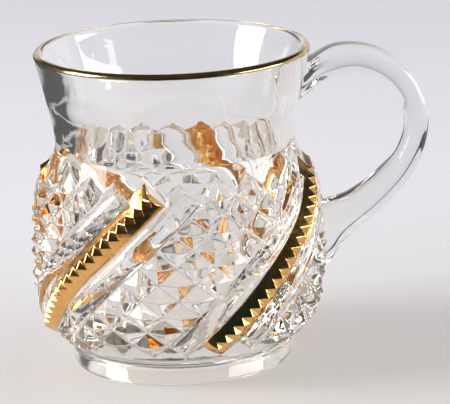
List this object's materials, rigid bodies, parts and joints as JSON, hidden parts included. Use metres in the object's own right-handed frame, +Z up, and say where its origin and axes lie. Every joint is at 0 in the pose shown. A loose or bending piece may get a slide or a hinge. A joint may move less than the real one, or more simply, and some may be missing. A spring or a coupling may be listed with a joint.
{
  "type": "punch cup",
  "caption": "Handled glass punch cup, bulbous body with swirled diamond-point relief, serrated gilt ribs, flared plain neck and gilt rim.",
  "frame": {"origin": "centre of the flat ground foot, on the bowl's axis", "axes": "+Z up along the bowl's axis, +X from the axis through the middle of the handle"},
  "size_m": [0.0931, 0.0682, 0.073],
  "materials": {
    "pressed_glass": "polished",
    "handle_glass": "polished",
    "rim_gilt": "polished",
    "rib_gilt": "polished"
  },
  "bodies": {
    "root": {"cup_body": "pressed_glass", "handle": "handle_glass", "rim_gilding": "rim_gilt", "rib_gilding_1": "rib_gilt", "rib_gilding_2": "rib_gilt", "rib_gilding_3": "rib_gilt", "rib_gilding_4": "rib_gilt"}
  },
  "joints": []
}
